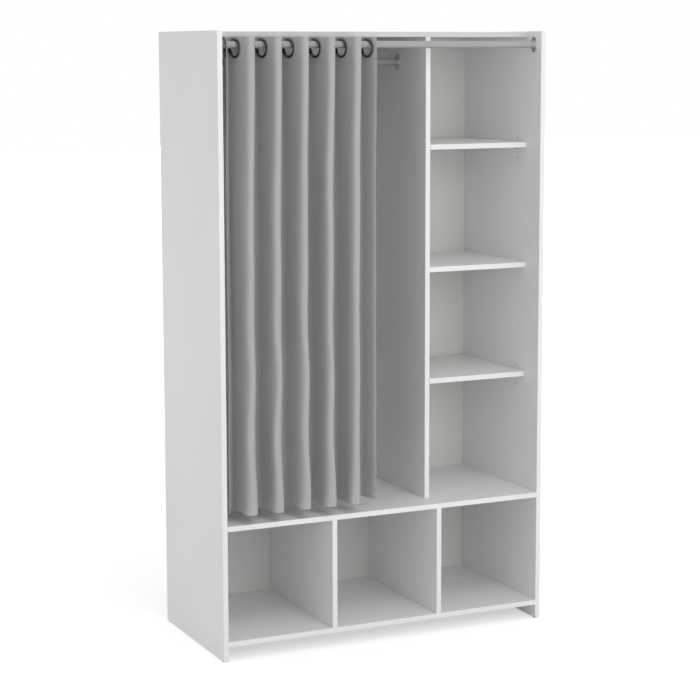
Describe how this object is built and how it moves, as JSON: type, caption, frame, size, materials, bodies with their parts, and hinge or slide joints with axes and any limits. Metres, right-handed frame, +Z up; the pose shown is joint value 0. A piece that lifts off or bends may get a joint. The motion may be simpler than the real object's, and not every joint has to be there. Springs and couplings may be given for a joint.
{
  "type": "curtain wardrobe",
  "caption": "Tall white board wardrobe with a gathered grey eyelet curtain on a rod, a hanging space with a rail, a column of open shelves and a row of open cubbies below.",
  "frame": {"origin": "middle of the floor area that the wardrobe takes up, curtain folds included, on the floor", "axes": "+X to the right as seen from the front, +Y to the back, +Z up"},
  "size_m": [1.1, 0.5303, 1.887],
  "materials": {
    "white_board": "white melamine on particle board, satin, slightly pebbled, with white edge banding",
    "back_board": "3 mm hardboard, white lacquered inside and raw brown outside",
    "curtain_fabric": "mid grey plain woven polyester, matt",
    "rod_steel": "light grey coated steel tube, satin",
    "socket_metal": "chromed die-cast, bright",
    "eyelet_metal": "dark chrome, polished",
    "pin_metal": "plain steel pins",
    "cap_plastic": "white plastic caps",
    "glide_plastic": "dark plastic glides"
  },
  "bodies": {
    "carcass": {"left_side": "white_board", "right_side": "white_board", "top_panel": "white_board", "middle_shelf": "white_board", "bottom_panel": "white_board", "centre_divider": "white_board", "cubby_partition_1": "white_board", "cubby_partition_2": "white_board", "fixed_shelf": "white_board", "lower_loose_shelf": "white_board", "upper_loose_shelf": "white_board", "back_upper_left": "back_board", "back_upper_right": "back_board", "back_lower": "back_board", "shelf_pin_1": "pin_metal", "shelf_pin_2": "pin_metal", "shelf_pin_3": "pin_metal", "shelf_pin_4": "pin_metal", "shelf_pin_5": "pin_metal", "shelf_pin_6": "pin_metal", "shelf_pin_7": "pin_metal", "shelf_pin_8": "pin_metal", "screw_cap_1": "cap_plastic", "screw_cap_2": "cap_plastic", "nail_glide_1": "glide_plastic", "nail_glide_2": "glide_plastic", "nail_glide_3": "glide_plastic", "nail_glide_4": "glide_plastic", "curtain_rod": "rod_steel", "curtain_rod_socket_left": "socket_metal", "curtain_rod_socket_right": "socket_metal", "hanging_rail": "rod_steel", "hanging_rail_socket_left": "socket_metal", "hanging_rail_socket_right": "socket_metal"},
    "fold_1": {"curtain_fold_1": "curtain_fabric", "eyelet_1": "eyelet_metal"},
    "fold_2": {"curtain_fold_2": "curtain_fabric", "eyelet_2": "eyelet_metal"},
    "fold_3": {"curtain_fold_3": "curtain_fabric", "eyelet_3": "eyelet_metal"},
    "fold_4": {"curtain_fold_4": "curtain_fabric", "eyelet_4": "eyelet_metal"},
    "fold_5": {"curtain_fold_5": "curtain_fabric", "eyelet_5": "eyelet_metal"},
    "fold_6": {"curtain_fold_6": "curtain_fabric", "eyelet_6": "eyelet_metal"},
    "fold_7": {"curtain_fold_7": "curtain_fabric", "eyelet_7": "eyelet_metal"},
    "fold_8": {"curtain_fold_8": "curtain_fabric", "eyelet_8": "eyelet_metal"},
    "fold_9": {"curtain_fold_9": "curtain_fabric", "eyelet_9": "eyelet_metal"},
    "fold_10": {"curtain_fold_10": "curtain_fabric", "eyelet_10": "eyelet_metal"},
    "fold_11": {"curtain_fold_11": "curtain_fabric", "eyelet_11": "eyelet_metal"},
    "fold_12": {"curtain_fold_12": "curtain_fabric", "eyelet_12": "eyelet_metal"}
  },
  "joints": [
    {"name": "curtain_draw", "type": "hinge", "parent": "carcass", "child": "fold_1", "pos_m": [-0.508, -0.19235, 1.843], "axis": [0, 0, -1], "range_deg": [-10, 27]},
    {"name": "crease_1", "type": "hinge", "parent": "fold_1", "child": "fold_2", "pos_m": [-0.49307, -0.15285, 1.843], "axis": [0, 0, 1], "range_deg": [-20, 54]},
    {"name": "crease_2", "type": "hinge", "parent": "fold_2", "child": "fold_3", "pos_m": [-0.45012, -0.26435, 1.843], "axis": [0, 0, -1], "range_deg": [-20, 54]},
    {"name": "crease_3", "type": "hinge", "parent": "fold_3", "child": "fold_4", "pos_m": [-0.40716, -0.15285, 1.843], "axis": [0, 0, 1], "range_deg": [-20, 54]},
    {"name": "crease_4", "type": "hinge", "parent": "fold_4", "child": "fold_5", "pos_m": [-0.36421, -0.26435, 1.843], "axis": [0, 0, -1], "range_deg": [-20, 54]},
    {"name": "crease_5", "type": "hinge", "parent": "fold_5", "child": "fold_6", "pos_m": [-0.32125, -0.15285, 1.843], "axis": [0, 0, 1], "range_deg": [-20, 54]},
    {"name": "crease_6", "type": "hinge", "parent": "fold_6", "child": "fold_7", "pos_m": [-0.2783, -0.26435, 1.843], "axis": [0, 0, -1], "range_deg": [-20, 54]},
    {"name": "crease_7", "type": "hinge", "parent": "fold_7", "child": "fold_8", "pos_m": [-0.23534, -0.15285, 1.843], "axis": [0, 0, 1], "range_deg": [-20, 54]},
    {"name": "crease_8", "type": "hinge", "parent": "fold_8", "child": "fold_9", "pos_m": [-0.19239, -0.26435, 1.843], "axis": [0, 0, -1], "range_deg": [-20, 54]},
    {"name": "crease_9", "type": "hinge", "parent": "fold_9", "child": "fold_10", "pos_m": [-0.14943, -0.15285, 1.843], "axis": [0, 0, 1], "range_deg": [-20, 54]},
    {"name": "crease_10", "type": "hinge", "parent": "fold_10", "child": "fold_11", "pos_m": [-0.10647, -0.26435, 1.843], "axis": [0, 0, -1], "range_deg": [-20, 54]},
    {"name": "crease_11", "type": "hinge", "parent": "fold_11", "child": "fold_12", "pos_m": [-0.06352, -0.15285, 1.843], "axis": [0, 0, 1], "range_deg": [-20, 54]}
  ],
  "couplings": [
    {"joint": "crease_1", "follows": "curtain_draw", "ratio": 2},
    {"joint": "crease_2", "follows": "curtain_draw", "ratio": 2},
    {"joint": "crease_3", "follows": "curtain_draw", "ratio": 2},
    {"joint": "crease_4", "follows": "curtain_draw", "ratio": 2},
    {"joint": "crease_5", "follows": "curtain_draw", "ratio": 2},
    {"joint": "crease_6", "follows": "curtain_draw", "ratio": 2},
    {"joint": "crease_7", "follows": "curtain_draw", "ratio": 2},
    {"joint": "crease_8", "follows": "curtain_draw", "ratio": 2},
    {"joint": "crease_9", "follows": "curtain_draw", "ratio": 2},
    {"joint": "crease_10", "follows": "curtain_draw", "ratio": 2},
    {"joint": "crease_11", "follows": "curtain_draw", "ratio": 2}
  ]
}
